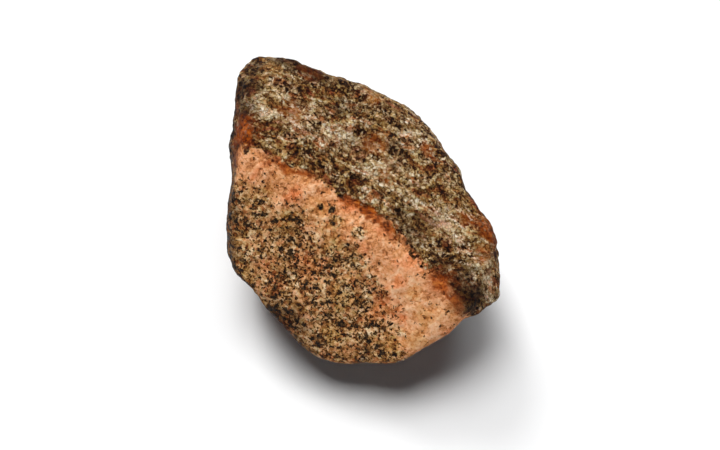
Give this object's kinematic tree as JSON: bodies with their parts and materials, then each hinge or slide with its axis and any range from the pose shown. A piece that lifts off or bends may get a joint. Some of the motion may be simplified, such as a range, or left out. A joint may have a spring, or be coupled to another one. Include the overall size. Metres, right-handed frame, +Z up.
{
  "type": "rough rock",
  "caption": "Hand-sized rough lump of pink granite with a grey gneiss crust, broken along flat faces and lightly worn, resting on one flat face.",
  "frame": {"origin": "on the surface the stone rests on, under the centre of its bounding box", "axes": "+Z up, away from the flat face the stone rests on; +Y from the toe of the pink face to the raised knob of the grey face; +X to the right seen from the toe"},
  "size_m": [0.0888, 0.0964, 0.0614],
  "materials": {
    "granite_gneiss": "matt, naturally broken and weathered: pink speckled granite on one face, grey-brown banded gneiss crust on the other"
  },
  "bodies": {
    "root": {"rough_rock": "granite_gneiss"}
  },
  "joints": []
}
